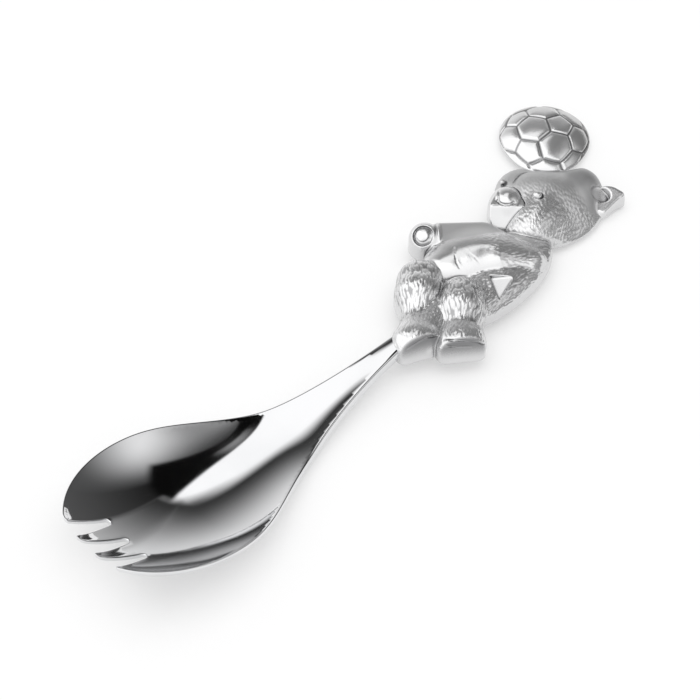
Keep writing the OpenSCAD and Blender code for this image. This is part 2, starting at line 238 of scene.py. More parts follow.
def seamed(t, own, bright):  # dark seams, and painted shade on the side of the ball away from the hand
    bright = mixColour(t, attributeNode(t, "darkening"), bright, own["shade"])
    seam = rangeNode(t, attributeNode(t, "seam"), 0.4, 1.0, 0.0, own["seamTone"])
    return mixColour(t, seam, bright, own["seam"])


def finished(name, own):
    m, t, s = newMaterial(name)
    g, tone = grainIn(t, own)
    rough = plus(t, g.outputs["Roughness"], own["rough"])
    s.inputs["Metallic"].default_value = own["metal"]
    if "hollow" in own:
        tone, dull = antiqued(t, own, tone)
        rough = plus(t, rough, dull)
    if "seam" in own:
        tone = seamed(t, own, tone)
    link(t, tone, s.inputs["Base Color"])
    link(t, rough, s.inputs["Roughness"])
    if "pits" in own:
        bumpIn(t, s, g.outputs["Height"], own["pits"])
    return m


steel = finished("polishedSteel", finish["steel"])
pewter = finished("antiquedPewter", finish["bear"])
ballPewter = finished("brightPewter", finish["ball"])
epoxy = finished("epoxyBond", finish["epoxy"])
print("spork: materials made")

# Camera, floor and lights; the aim is in millimetres of the blade's drawing
shot = {"aim": (64.99, 6.323, 3.249), "heading": 46.908, "down": 50.0, "away": 441.0, "lens": 124.97}

studio = {
    "floor": 0.93, "world": 0.8,
    "lift": 0.36,  # share of plain white in the floor as it is seen, which keeps its shadows pale
    "box": {"at": (-0.03, 0.02, 0.8), "size": 1.0, "watts": 3.0},  # soft box overhead
    "sky": 1.0,  # what the metal sees where no panel stands
    "domeRadius": 1.6, "domeStep": 2.0,
    # panels that only the metal reflects: bearing and height of the middle in degrees,
    # half width, half height, soft edge, brightness at foot and head
    "panels": [
        (140, 34, 50, 36, 16, 1.5, 1.7),
        (190, 74, 110, 18, 12, 1.6, 2.2),
        (-120, 40, 46, 44, 10, 1.1, 1.6),
        (-44, 38, 36, 44, 10, 0.1, 0.05),
        (-53, 41, 21, 18, 38, 0.95, 0.95),
        (24, 22, 14, 32, 8, 0.55, 0.03),
        (64, 22, 30, 32, 8, 0.95, 0.03),
        (70, 73, 45, 16, 3, 1.25, 1.25),
        (0, 30, 13, 40, 5, 0.1, 0.004),
        (-4, 66, 31, 13, 6, 0.004, 0.004),
    ],
}


def makeCamera():
    a, e = math.radians(shot["heading"]), math.radians(shot["down"])
    look = Vector((math.cos(a) * math.cos(e), math.sin(a) * math.cos(e), -math.sin(e)))
    aim = Vector(placed([shot["aim"]])[0])
    data = bpy.data.cameras.new("camera")
    data.lens, data.sensor_width = shot["lens"], 36.0
    data.clip_start, data.clip_end = 0.01, 50.0
    cam = bpy.data.objects.new("camera", data)
    cam.location = aim - look * shot["away"] * milli
    cam.rotation_euler = look.to_track_quat("-Z", "Y").to_euler()
    bpy.context.scene.collection.objects.link(cam)
    bpy.context.scene.camera = cam


def seenDirectly(t):  # 1 where the camera sees a surface, also in metal or through glass
    path = t.nodes.new("ShaderNodeLightPath")
    seen = plus(t, path.outputs["Is Camera Ray"], path.outputs["Is Glossy Ray"])
    return mathNode(t, "ADD", seen, path.outputs["Is Transmission Ray"], clamp=True)


def makeWorld():
    w = bpy.data.worlds.new("whiteRoom")
    bpy.context.scene.world = w
    w.use_nodes = True
    t = w.node_tree
    back = t.nodes["Background"]
    back.inputs["Color"].default_value = (1, 1, 1, 1)
    link(t, rangeNode(t, seenDirectly(t), 0.0, 1.0, studio["world"], 1.0, "LINEAR"), back.inputs["Strength"])


def makeFloor():
    corners = [(-4, -4, 0), (4, -4, 0), (4, 4, 0), (-4, 4, 0)]
    floor = meshObject("floor", corners, [(0, 1, 2, 3)], False)
    m, t, s = newMaterial("paleFloor")
    c = t.nodes.new("ShaderNodeTexCoord")
    pale, faint = (studio["floor"],) * 3, (studio["floor"] * 0.985,) * 3
    link(t, mixColour(t, noiseNode(t, c.outputs["Object"], 40), pale, faint), s.inputs["Base Color"])
    s.inputs["Roughness"].default_value = 0.9
    s.inputs["Specular IOR Level"].default_value = 0.0
    white, mix = t.nodes.new("ShaderNodeEmission"), t.nodes.new("ShaderNodeMixShader")
    link(t, times(t, seenDirectly(t), studio["lift"]), mix.inputs["Fac"])
    link(t, s.outputs["BSDF"], mix.inputs[1])
    link(t, white.outputs["Emission"], mix.inputs[2])
    link(t, mix.outputs["Shader"], t.nodes["Material Output"].inputs["Surface"])
    floor.data.materials.append(m)


def makePanels():  # one dome whose brightness is written on its points, seen by the metal alone
    step = studio["domeStep"]
    bearing, height = np.meshgrid(np.arange(-180, 181, step), np.arange(0, 91, step))
    glow = np.full(bearing.shape, studio["sky"])
    for az, el, wide, tall, soft, foot, head in studio["panels"]:
        off = np.abs((bearing - az + 180) % 360 - 180)
        cover = 1 - ease(wide - soft / 2, wide + soft / 2, off)
        cover = cover * (1 - ease(tall - soft / 2, tall + soft / 2, np.abs(height - el)))
        glow = glow + (foot + (head - foot) * ease(el - tall, el + tall, height) - glow) * cover
    a, e = np.radians(bearing), np.radians(height)
    p = np.stack([np.cos(a) * np.cos(e), np.sin(a) * np.cos(e), np.sin(e)], -1).reshape(-1, 3)
    rows, cols = bearing.shape
    i = np.arange(rows * cols).reshape(rows, cols)
    faces = np.stack([i[:-1, :-1], i[1:, :-1], i[1:, 1:], i[:-1, 1:]], -1).reshape(-1, 4)
    dome = meshObject("studioPanels", studio["domeRadius"] * p, faces)
    pointValue(dome.data, "glow", glow)
    m = bpy.data.materials.new("panelGlow")
    m.use_nodes = True
    t = m.node_tree
    t.nodes.clear()
    light, end = t.nodes.new("ShaderNodeEmission"), t.nodes.new("ShaderNodeOutputMaterial")
    link(t, attributeNode(t, "glow"), light.inputs["Strength"])
    link(t, light.outputs[0], end.inputs["Surface"])
    m.cycles.emission_sampling = "NONE"
    dome.data.materials.append(m)
    dome.visible_camera = dome.visible_diffuse = dome.visible_shadow = dome.visible_transmission = False


def makeSoftBox():
    data = bpy.data.lights.new("softBox", "AREA")
    data.shape, data.size = "SQUARE", studio["box"]["size"]
    data.energy = studio["box"]["watts"]
    lamp = bpy.data.objects.new("softBox", data)
    lamp.location = studio["box"]["at"]
    lamp.visible_camera = lamp.visible_glossy = False  # the dome's top panel is what the metal shows
    bpy.context.scene.collection.objects.link(lamp)


bpy.context.scene.view_settings.view_transform = "Standard"
makeCamera()
makeWorld()
makeFloor()
makePanels()
makeSoftBox()
print("spork: camera, floor and lights set")

# Spork blade: bowl, four tines, neck and tang, pressed from one polished sheet; millimetres back from the tines
blade = {
    "bowlWidth": 31.8, "frontLength": 18.5, "bowlEnd": 47.0, "depth": 6.4, "deepAt": 17.0, "roundness": 2.2,
    "frontCurve": 0.7, "rearCurve": 1.8,
    "tilt": 12.5, "rimBack": 4.5, "dip": 0.75,  # the rim's slope in degrees, and how it turns into the neck
    "thickness": 1.15, "edgeBowl": 0.3, "edgeNeck": 0.5, "edgeFrom": (26, 50), "lift": 2.84713, "rest": 0.02,
    "tines": 4, "tineSpan": 14.4, "bow": 0.95, "bowFade": 8, "notchLength": 7.6, "notchRadius": 0.6,
    "tipWidth": 1.3, "tipRound": 1.1, "tipFront": -0.85, "flareEnd": 0.35,
    "outerTip": (-0.2, 6.86), "outerFrom": 0.35, "innerFrom": 0.3,
    "shoulder": 15.5, "waistAt": 36.0, "waistWidth": 6.6, "neckSlope": 0.073, "neckBend": 0.002,
    "channel": 0.5, "crown": 0.25, "crownRun": 10, "runOut": (22.0, 62.0), "channelFade": (-11, 4),
    "shankEnd": 73.0, "shankWidth": 3.5, "shankThick": 2.4, "shankRise": 3.6, "endRound": 1.2,
    "tangLength": 14.0, "tangWide": 2.9, "tangThick": 1.8, "tangHeight": 4.34713,
    "tangIn": 0.6, "tangTip": (0.5, 0.7),
    "outlineStep": 0.17, "gridStep": (0.5, 0.8), "gridClear": 0.3, "edgeRows": 10, "edgeCurve": 0.75,
}
tineTip = math.asin(blade["tineSpan"] / blade["bowlWidth"])
tinePitch = blade["tineSpan"] / (blade["tines"] - 1)


def bladeRim():  # half outline from the outer tine's tip to the shank's end
    f, w = blade["frontLength"], blade["bowlWidth"] / 2
    a = np.linspace(tineTip, math.pi / 2, 500)
    front = np.stack([f * (1 - np.cos(a) / math.cos(tineTip)), w * np.sin(a)], 1)
    t = np.linspace(0, 1, 1200)[1:, None]
    waist = (blade["waistAt"], blade["waistWidth"] / 2)
    ends = np.array([(f, w), (f + blade["shoulder"], w), waist, (blade["shankEnd"], blade["shankWidth"] / 2)])
    back = ends[0] * (1 - t) ** 3 + ends[1] * 3 * t * (1 - t) ** 2
    back = back + ends[2] * 3 * t * t * (1 - t) + ends[3] * t ** 3
    return np.vstack([front, back])


rimLine = bladeRim()


def sheetThickness(x):
    more = blade["shankThick"] - blade["thickness"]
    return blade["thickness"] + more * ease(blade["frontLength"], blade["bowlEnd"] + blade["rimBack"], x)


def rimHeight(x):
    rim = (blade["bowlEnd"] - blade["rimBack"] - x) * math.tan(math.radians(blade["tilt"]))
    d = blade["shankEnd"] - x
    neck = blade["shankRise"] - blade["neckSlope"] * d - blade["neckBend"] * d * d
    return (rim + neck) / 2 + np.sqrt(((rim - neck) / 2) ** 2 + blade["dip"] ** 2)


def hollowDepth(x):  # how far the bowl's middle lies below the rim
    deep = blade["deepAt"]
    front = np.maximum(0, 1 - ((deep - x) / (deep + blade["bow"])) ** 2) ** blade["frontCurve"]
    back = np.clip((x - deep) / (blade["bowlEnd"] - deep), 0, 1)
    rear = np.maximum(np.cos(np.pi / 2 * back), 0) ** blade["rearCurve"]
    return np.where(x < deep, front, rear) * blade["depth"]


def neckChannel(x):  # the channel that runs on along the neck and fades out before the shank
    first, last = blade["channelFade"]
    return blade["channel"] * (1 - ease(blade["runOut"][1] + first, blade["runOut"][1] + last, x))


def runOut(x):  # the bowl's floor rises in one sweep to the neck
    a, b = blade["runOut"]
    near = 0.1  # the slopes at both ends are taken over this much
    pts = np.array([a - near, a + near, b - near, b + near])
    z = rimHeight(pts) - np.where(pts < (a + b) / 2, hollowDepth(pts), neckChannel(pts))
    h, t = b - a, np.clip((x - a) / (b - a), 0, 1)
    z0, z1 = (z[0] + z[1]) / 2, (z[2] + z[3]) / 2
    m0, m1 = (z[1] - z[0]) / (2 * near) * h, (z[3] - z[2]) / (2 * near) * h
    level = (2 * t ** 3 - 3 * t * t + 1) * z0 + (3 * t * t - 2 * t ** 3) * z1
    return level + (t ** 3 - 2 * t * t + t) * m0 + (t ** 3 - t * t) * m1


def bladeTop(x, y):
    px = np.clip(x, 0, blade["shankEnd"])
    for i in range(4):  # the tine ends bow forward in the middle
        half = np.interp(px, rimLine[:, 0], rimLine[:, 1])
        t = np.clip(y / half, -1, 1)
        bow = blade["bow"] * (1 - t * t) * (1 - ease(0, blade["bowFade"], px))
        px = np.clip(x + bow, 0, blade["shankEnd"])
    edge = rimHeight(x)
    a, b = blade["runOut"]
    neck = neckChannel(x) - blade["crown"] * ease(b, b + blade["crownRun"], x)
    depth = np.where(x < a, hollowDepth(x), np.where(x < b, edge - runOut(x), neck))
    return edge - depth * (1 - np.abs(t) ** blade["roundness"]) + blade["lift"]


def tineWidth(s):  # width of one tine, s behind its tip
    widen = tinePitch - 2 * blade["notchRadius"] - blade["tipWidth"]
    full = blade["tipWidth"] + widen * np.clip(s / (blade["notchLength"] + blade["flareEnd"]), 0, 1)
    return full * np.sqrt(np.maximum(0, 1 - np.maximum(0, 1 - s / blade["tipRound"]) ** 2))


def bend(a, b, c):  # round corner from a to c
    t = np.linspace(0, 1, 12)[1:-1, None]
    return a * (1 - t) ** 2 + b * 2 * t * (1 - t) + c * t * t


def bladeOutline():
    r, front, last = blade["notchRadius"], blade["tipFront"], blade["tines"] - 2
    root = blade["notchLength"] - r  # middle of each notch's round end
    neckEnd = blade["shankEnd"] - blade["endRound"]
    half = np.interp(neckEnd, rimLine[:, 0], rimLine[:, 1])
    rim = rimLine[(rimLine[:, 0] > blade["outerFrom"]) & (rimLine[:, 0] < neckEnd - 0.05)]
    turn = np.linspace(-math.pi / 2, math.pi / 2, 24)  # the shank's end, rounded inside the handle
    end = np.stack([neckEnd + blade["endRound"] * np.cos(turn), half * np.sin(turn)], 1)
    run = [rim * (1, -1), end, rim[::-1]]
    close = np.linspace(0, 0.15, 8) ** 2 / 0.15  # closer steps at the tips
    s = np.concatenate([close, np.linspace(0.2, 1.4, 16), np.linspace(1.6, root - front, 30)])
    gap = (tinePitch - tineWidth(s)) / 2
    tip = np.array(blade["outerTip"])
    for k in range(blade["tines"] - 1):
        at = blade["tineSpan"] / 2 - tinePitch * (k + 0.5)
        down = np.stack([front + s, at + gap], 1)
        up = np.stack([front + s, at - gap], 1)[::-1]
        if k == 0:  # outer tines: rounded between the rim and the inner side
            down = down[down[:, 0] > blade["innerFrom"]]
            down = np.vstack([bend(rim[0], tip, down[0]), down])
        if k == last:
            up = up[up[:, 0] > blade["innerFrom"]]
            up = np.vstack([up, bend(up[-1], tip * (1, -1), rim[0] * (1, -1))])
        turn = np.linspace(math.pi / 2, -math.pi / 2, 18)[1:-1]
        notch = np.stack([root + r * np.cos(turn), at + r * np.sin(turn)], 1)
        run += [down, notch, up if k == last else up[:-1]]
    run = np.vstack(run)
    loop = np.vstack([run, run[:1]])
    along = np.concatenate([[0], np.cumsum(np.linalg.norm(np.diff(loop, axis=0), axis=1))])
    even = np.linspace(0, along[-1], int(along[-1] / blade["outlineStep"]), endpoint=False)
    return np.stack([np.interp(even, along, loop[:, 0]), np.interp(even, along, loop[:, 1])], 1)


def insideLoop(loop, q):
    inside = np.zeros(len(q), bool)
    for (x0, y0), (x1, y1) in zip(loop, np.roll(loop, -1, 0)):
        if y0 != y1:
            level = (y0 > q[:, 1]) != (y1 > q[:, 1])
            inside ^= level & (q[:, 0] < (x1 - x0) * (q[:, 1] - y0) / (y1 - y0) + x0)
    return inside


def slope(x, y, step=0.12):
    fx = (bladeTop(x + step, y) - bladeTop(x - step, y)) / (2 * step)
    fy = (bladeTop(x, y + step) - bladeTop(x, y - step)) / (2 * step)
    return fx, fy


def sheetFaces(inner):  # even triangles in the outline: points, upward faces, the outline's own points
    step = blade["gridStep"][0]
    grid = np.stack(np.meshgrid(np.arange(-1, 73, step), np.arange(-16, 16, step)), -1).reshape(-1, 2)
    grid[:, 0] += np.where(np.round(grid[:, 1] / step) % 2 == 0, 0, step / 2)
    grid = grid[insideLoop(inner, grid)]
    gap = np.min(np.linalg.norm(grid[:, None, :] - inner[None, ::3, :], axis=2), axis=1)
    flat = [Vector(p) for p in np.vstack([inner, grid[gap > blade["gridClear"]]])]
    n = len(inner)
    points, _, faces, origin = delaunay_2d_cdt(flat, [], [list(range(n))], 1, 1e-6)[:4]
    xy = np.array([tuple(p) for p in points])
    where = {src: i for i, srcs in enumerate(origin) for src in srcs}
    faces = np.array([f for f in faces])
    a, b = xy[faces[:, 1]] - xy[faces[:, 0]], xy[faces[:, 2]] - xy[faces[:, 0]]
    turned = a[:, 0] * b[:, 1] - a[:, 1] * b[:, 0] < 0
    faces[turned] = faces[turned][:, ::-1]
    return xy, faces, np.array([where[i] for i in range(n)])


def tangBox():  # flat bar inside the handle, a little narrowed at its end
    back, narrow = blade["tangTip"]
    x0, x1 = blade["shankEnd"] - blade["tangIn"], blade["shankEnd"] + blade["tangLength"]
    w, z0 = blade["tangWide"] / 2, blade["tangHeight"]
    stations = ((x0, 1), (x1 - back, 1), (x1, narrow))
    heights = (z0, z0 + blade["tangThick"])
    points = [(x, side * w * k, z) for x, k in stations for z in heights for side in (-1, 1)]
    faces = [(0, 2, 3, 1), (8, 9, 11, 10)]
    for b in (0, 4):
        faces += [(b, b + 1, b + 5, b + 4), (b + 2, b + 6, b + 7, b + 3)]
        faces += [(b, b + 4, b + 6, b + 2), (b + 1, b + 3, b + 7, b + 5)]
    return points, faces


def makeBlade():
    outline = bladeOutline()
    tangent = np.roll(outline, -1, 0) - np.roll(outline, 1, 0)
    tangent /= np.linalg.norm(tangent, axis=1, keepdims=True)
    out = np.stack([tangent[:, 1], -tangent[:, 0]], 1)
    edge = blade["edgeBowl"] + (blade["edgeNeck"] - blade["edgeBowl"]) * ease(*blade["edgeFrom"], outline[:, 0])
    inner = outline - out * edge[:, None]
    xy, faces, ring = sheetFaces(inner)
    top, thick = bladeTop(xy[:, 0], xy[:, 1]), sheetThickness(xy[:, 0])
    fx, fy = slope(xy[:, 0], xy[:, 1])
    n, m = len(inner), len(xy)
    rows = [np.c_[xy, top], np.c_[xy, np.maximum(top - thick, blade["rest"])]]  # the bowl rests on the table
    quads, last, count = [], ring, 2 * m
    rise = np.clip(fx[ring] * out[:, 0] + fy[ring] * out[:, 1], -2.0, 2.0)
    following = np.roll(np.arange(n), -1)
    for a in np.radians(np.linspace(0, 180, blade["edgeRows"]))[1:-1]:  # rounded edge
        reach = edge * np.abs(math.sin(a)) ** blade["edgeCurve"]
        down = 1 - np.sign(math.cos(a)) * abs(math.cos(a)) ** blade["edgeCurve"]
        rows.append(np.c_[inner + out * reach[:, None], top[ring] - thick[ring] / 2 * down + rise * reach])
        ids = count + np.arange(n)
        quads.append(np.stack([last, ids, ids[following], last[following]], 1))
        last, count = ids, count + n
    quads.append(np.stack([last, ring + m, (ring + m)[following], last[following]], 1))
    tang, box = tangBox()
    rows.append(np.array(tang))
    allFaces = list(faces) + list(faces[:, ::-1] + m) + list(np.vstack(quads)) + list(np.array(box) + count)
    obj = meshObject("sporkBlade", placed(np.vstack(rows)), allFaces)
    mesh = obj.data
    normals = np.zeros(len(mesh.vertices) * 3, np.float32)
    mesh.vertices.foreach_get("normal", normals)
    normals = normals.reshape(-1, 3)
    up = np.c_[-fx, -fy, np.ones(m)]  # the polished faces take the true normals of the curve
    up /= np.linalg.norm(up, axis=1, keepdims=True)
    clear = np.ones(m, bool)
    clear[ring] = False
    normals[:m][clear] = up[clear]
    normals[m:2 * m][clear] = -up[clear]
    mesh.normals_split_custom_set_from_vertices([tuple(v) for v in normals])
    mesh.materials.append(steel)
    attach(obj, "root")
    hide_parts("spork_blade")
    print("spork: blade has", len(mesh.polygons), "faces")


makeBlade()

# Football on the head: a shallow dome with sewn panels; handle millimetres, degrees for the panels' turn
ball = {
    "at": (61.3, 21.2, 1.1), "radius": 9.0, "dome": 3.7, "fullness": 2.6, "turn": (-34.4, 19.6, 3.9),
    "seam": 0.34, "seamDepth": 0.24, "pillow": 0.1, "pillowEdge": 0.9,
    "reach": 1.1, "reachFrom": -4.0,  # drawn out where it meets the head
    # darkening: the most painted shade on the ball's side away from the hand
    "darkening": 0.75, "backIn": 0.6, "rings": (84, 40), "spokes": (264, 120),
}


def unit(v):
    return v / np.linalg.norm(v)


def turnZ(t):
    return np.array([(math.cos(t), -math.sin(t), 0), (math.sin(t), math.cos(t), 0), (0, 0, 1)])


def footballSeams():  # the edges of a truncated icosahedron on the unit sphere
    lat, near = math.atan(0.5), 0.4  # corners of the icosahedron nearer than this are neighbours
    corners = [(0, 0, 1), (0, 0, -1)]
    for k in range(5):
        for tilt, start in ((lat, 0), (-lat, 36)):
            a = math.radians(72 * k + start)
            corners.append((math.cos(a) * math.cos(tilt), math.sin(a) * math.cos(tilt), math.sin(tilt)))
    corners = np.array(corners)
    cuts = {}
    for i in range(12):
        for j in range(12):
            if i != j and corners[i] @ corners[j] > near:
                cuts[i, j] = (2 * corners[i] + corners[j]) / 3
    seams = [(cuts[i, j], cuts[j, i]) for i, j in cuts if i < j]
    keys = list(cuts)
    for i, j in keys:
        for a, k in keys:
            if a == i and j < k and corners[j] @ corners[k] > near:
                seams.append((cuts[i, j], cuts[i, k]))
    z1, y, z2 = (math.radians(v) for v in ball["turn"])
    turnY = np.array([(math.cos(y), 0, math.sin(y)), (0, 1, 0), (-math.sin(y), 0, math.cos(y))])
    spin = turnZ(z1) @ turnY @ turnZ(z2)
    return [(unit(spin @ a), unit(spin @ b)) for a, b in seams]


def seamGap(q):  # how far each point of the unit sphere lies from a seam
    gap = np.full(len(q), math.pi)
    for s, e in footballSeams():
        n = unit(np.cross(s, e))
        mid = (s + e) / np.linalg.norm(s + e)
        on = q @ mid > s @ mid - 1e-9
        far = np.minimum(np.arccos(np.clip(q @ s, -1, 1)), np.arccos(np.clip(q @ e, -1, 1)))
        flat = q - (q @ n)[:, None] * n
        flat /= np.maximum(np.linalg.norm(flat, axis=1, keepdims=True), 1e-9)
        within = (flat @ mid >= s @ mid) & on
        gap = np.minimum(gap, np.where(within, np.abs(np.arcsin(np.clip(q @ n, -1, 1))), far))
    return gap * ball["radius"]


def drawnOut(x, y, end):  # how far the ball is drawn out towards the head at a place beside its middle
    return ball["reach"] * ease(ball["reachFrom"], end, x * faceUp[0] + y * faceUp[1])


def makeBall():
    quick = 0
    rings, spokes = ball["rings"][quick], ball["spokes"][quick]
    r = np.sin(np.linspace(0, math.pi / 2, rings + 1)[1:])
    a = np.linspace(0, 2 * math.pi, spokes, endpoint=False)
    rr, aa = np.meshgrid(r, a, indexing="ij")
    q = np.stack([rr * np.cos(aa), rr * np.sin(aa), np.sqrt(np.maximum(0, 1 - rr * rr))], -1).reshape(-1, 3)
    q = np.vstack([[(0, 0, 1.0)], q])
    gap = seamGap(q)
    rad = np.hypot(q[:, 0], q[:, 1])
    fall = ball["fullness"] * rad ** (ball["fullness"] - 1) * ball["dome"] / ball["radius"]
    way = fall / np.maximum(rad, 1e-6)
    out = np.stack([way * q[:, 0], way * q[:, 1], np.ones(len(q))], 1)
    out /= np.linalg.norm(out, axis=1, keepdims=True)
    groove = np.exp(-(gap / ball["seam"]) ** 2)
    lift = ball["pillow"] * (1 - np.exp(-(gap / ball["pillowEdge"]) ** 2)) - ball["seamDepth"] * groove
    lift *= 1 - 0.9 * ease(0.96, 1.0, rad)
    height = ball["dome"] * (1 - rad ** ball["fullness"])
    p = np.stack([ball["radius"] * q[:, 0], ball["radius"] * q[:, 1], height], 1)
    p = p + out * (lift - ball["pillow"])[:, None]
    rim = p[-spokes:]
    rows = [p]
    for drop, draw in ((0.35, 0.0), (0.75, 0.25), (1.0, ball["backIn"])):  # side and rounded back edge
        level = rim[:, 2] * (1 - drop) - drop * ball["at"][2]
        rows.append(np.c_[rim[:, :2] * (1 - draw / ball["radius"]), level])
    points = np.vstack(rows)
    points[:, :2] -= drawnOut(points[:, 0], points[:, 1], -ball["radius"])[:, None] * faceUp
    points = points + np.array(ball["at"])
    faces = [(0, 1 + i, 1 + (i + 1) % spokes) for i in range(spokes)]
    for k in range(rings + 2):
        b, c = 1 + k * spokes, 1 + (k + 1) * spokes
        faces += [(b + i, c + i, c + (i + 1) % spokes, b + (i + 1) % spokes) for i in range(spokes)]
    b = 1 + (rings + 2) * spokes
    faces.append(tuple(b + i for i in range(spokes))[::-1])
    obj = meshObject("footballCasting", placedHandle(points), faces)
    obj.data.polygons[len(faces) - 1].use_smooth = False
    rest = np.zeros(len(points) - len(q))
    pointValue(obj.data, "seam", np.concatenate([groove * (1 - ease(0.97, 1, rad)), rest]))
    shade = 0.55 * ease(0.2, 0.8, q[:, :2] @ faceUp) + 0.5 * ease(0.3, 0.9, q[:, :2] @ faceRight)
    shade = np.minimum(shade, ball["darkening"])  # painted shade on the side away from the hand, at most this strong
    pointValue(obj.data, "darkening", np.concatenate([shade, rest]))
    obj.data.materials.append(ballPewter)
    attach(obj, "root")
    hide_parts("ball_casting")
    print("spork: football has", len(faces), "faces")


makeBall()

# Bear casting, in the handle's own millimetres: along from the shank's mouth, across, and up from the back
bearShape = {
    "back": 0.35,  # rounding of the edge round the flat back
    "skull": ((48.4, 7.4), (13.2, 10.6), 7.9, -0.3, -8),  # middle, half lengths, top, edge, turn
    "ballFall": (9.3, 1.15, 0.656),  # the head falls away to the ball: from where, slope, its cosine
    "muzzleGap": 0.12,  # crease round the muzzle
    "lipTop": 5.9, "farArmTop": 5.6,
    "eyeAt": (43.8, 7.0, 6.9), "eye": (0.9, 0.8, 0.9), "eyeTurn": -43,
    "socketOff": (0.32, -0.3, 0.35), "socket": (0.95, 0.9, 0.8),
    "farEyeAt": (42.6, 14.9, 5.4), "farEye": (0.55, 0.5, 0.6),
    "cupAt": (56.0, 1.5), "cup": (1.9, 1.35), "cupFloor": 2.7, "cupFall": 0.7,  # the ear's hollow
    "padAt": (21.0, 14.75, 5.75), "padRadius": 1.7, "padRing": 0.48, "padDepth": 0.5,  # pad on the far paw
    "crook": ((23.7, -1.1), (26.3, -3.4), (22.1, -4.6)),
    "crookFloor": 4.0, "crookTilt": 0.3, "crookRound": 0.4,
}

# Rounded forms: middle, half lengths, turn in degrees; all have upright sides below the middle
bearEggs = {
    "cheek": ((40.8, 4.4, 0.4), (6.4, 5.0, 5.6), 0),
    "forehead": ((46.6, 9.2, 2.0), (6.6, 6.3, 5.2), -40),
    "headRim": ((47.2, 5.8, 40.0), (11.6, 8.1, 1.0), -8),
    "underEye": ((42.8, 5.4, 1.8), (4.6, 4.2, 4.5), 0),
    "nape": ((54.6, 6.2, 1.5), (4.9, 4.7, 4.7), -20),
    "brow": ((45.7, 13.2, 2.4), (5.2, 4.3, 3.4), 8),
    "muzzle": ((40.2, 11.2, 2.6), (3.55, 3.9, 4.6), -43),
    "jaw": ((37.9, 8.8, 0.5), (3.6, 5.0, 20.0), -43),
    "ear": ((56.6, 0.2, 0.5), (3.6, 3.0, 5.6), -35),
    "earTip": ((59.2, -0.9, 0.5), (0.9, 0.7, 3.2), -20),
    "torso": ((25.8, 6.4, 2.4), (9.8, 6.4, 4.4), -15),
    "neck": ((34.6, 2.2, 1.2), (4.8, 4.8, 3.1), 0),
    "rump": ((25.6, -0.9, 2.0), (14.5, 5.7, 3.1), 4),
    "cuff": ((24.1, 13.5, 3.1), (0.6, 3.35, 3.3), 139),
    "farPaw": ((22.6, 15.2, 3.0), (3.1, 3.3, 3.3), 0),
    "foreArm": ((27.8, 4.2, 2.6), (8.6, 4.7, 4.6), -31),
    "nearPaw": ((21.0, 7.1, 2.3), (5.0, 4.2, 3.9), -31),
    "farKnee": ((11.8, 5.8, 2.6), (4.5, 4.2, 4.9), -45),
    "nearKnee": ((14.8, -2.0, 2.7), (4.5, 4.4, 5.2), -45),
    "farFoot": ((3.8, -1.8, 2.3), (4.7, 4.4, 3.7), -14),
    "nearFoot": ((9.3, -7.6, 2.3), (4.7, 4.4, 3.7), -34),
}

# Limbs: both ends, radius at each, and for the flat ones their flatness
bearLimbs = {
    "land": ((51.0, 9.5, 0.3), (57.4, 15.2, 0.2), 3.2, 2.6, 0.3),  # low bridge from the head to the ball
    "farArm": ((30.0, 7.8, 4.2), (24.6, 13.0, 4.3), 3.6, 3.0, 0.6),
    "upperArm": ((32.9, -1.4, 2.4), (28.6, 2.0, 2.6), 3.5, 4.2),
    "farShin": ((14.4, 8.2, 2.4), (7.6, 1.6, 1.4), 4.4, 3.4),
    "nearShin": ((16.8, -0.3, 2.7), (11.4, -5.4, 1.5), 4.6, 3.5),
    "lap": ((5.4, -1.6, 1.6), (16.0, 2.0, 1.6), 3.6, 3.6),
}

# Flat faces: a point on each and the way it looks
bearFlats = {
    "chin": ((38.05, 9.95, 6.0), (-0.507, -0.542, 0.669)),
    "underChin": ((35.6, 7.3, 2.0), (-0.683, -0.73, 0.0)),
    "earSide": ((57.0, -1.4, 0.0), (0.0, -1.0, 0.0)),
    "earFront": ((58.1, 2.4, 4.3), (-0.29, -0.31, 0.905)),
    "farTread": ((2.66, -3.63, 4.9), (-0.33, -0.93, 0.14)),
    "nearTread": ((8.3, -9.1, 4.8), (-0.56, -0.82, 0.13)),
}
bearSoles = (("farFoot", "farTread"), ("nearFoot", "nearTread"))

# Engraved lines: half width and the points they pass; each is cut this many half widths deep
lineDepth = 2.0
bearLines = {
    "mouth": (
        0.28, [(37.8, 11.7, 6.0), (37.7, 10.8, 6.1), (38.0, 9.9, 6.1), (38.8, 9.2, 6.2), (39.7, 9.0, 6.3)],
    ),
    "lip": (0.22, [(39.4, 12.8, 6.6), (38.5, 12.1, 6.5), (37.9, 11.3, 6.1)]),
    "brow": (0.2, [(48.0, 13.6, 5.6), (46.8, 13.8, 5.8), (45.4, 13.6, 5.8), (44.0, 13.3, 5.7)]),
    "wrist": (0.1, [(22.6, 7.8, 6.6), (21.6, 6.7, 6.5), (20.7, 5.3, 6.0), (20.4, 4.2, 5.5)]),
    "farSole": (
        0.18, [(0.3, -2.9, 3.9), (1.6, -3.3, 4.5), (2.7, -3.6, 4.9), (4.3, -4.0, 5.1), (6.2, -4.4, 4.5)],
    ),
    "nearSole": (
        0.18, [(6.2, -6.2, 4.8), (7.2, -7.9, 5.4), (9.3, -9.7, 5.1), (10.6, -10.5, 4.6), (11.6, -11.1, 3.8)],
    ),
    "welt": (0.18, [(5.8, -7.2, 4.3), (7.4, -8.6, 4.0), (9.5, -10.1, 3.8)]),
}


# The forms are distances in millimetres, below zero inside; k is the radius of a blend
def softMin(a, b, k):
    w = np.clip(0.5 + 0.5 * (b - a) / k, 0, 1)
    return b + (a - b) * w - k * w * (1 - w)


def softMax(a, b, k):
    return -softMin(-a, -b, k)


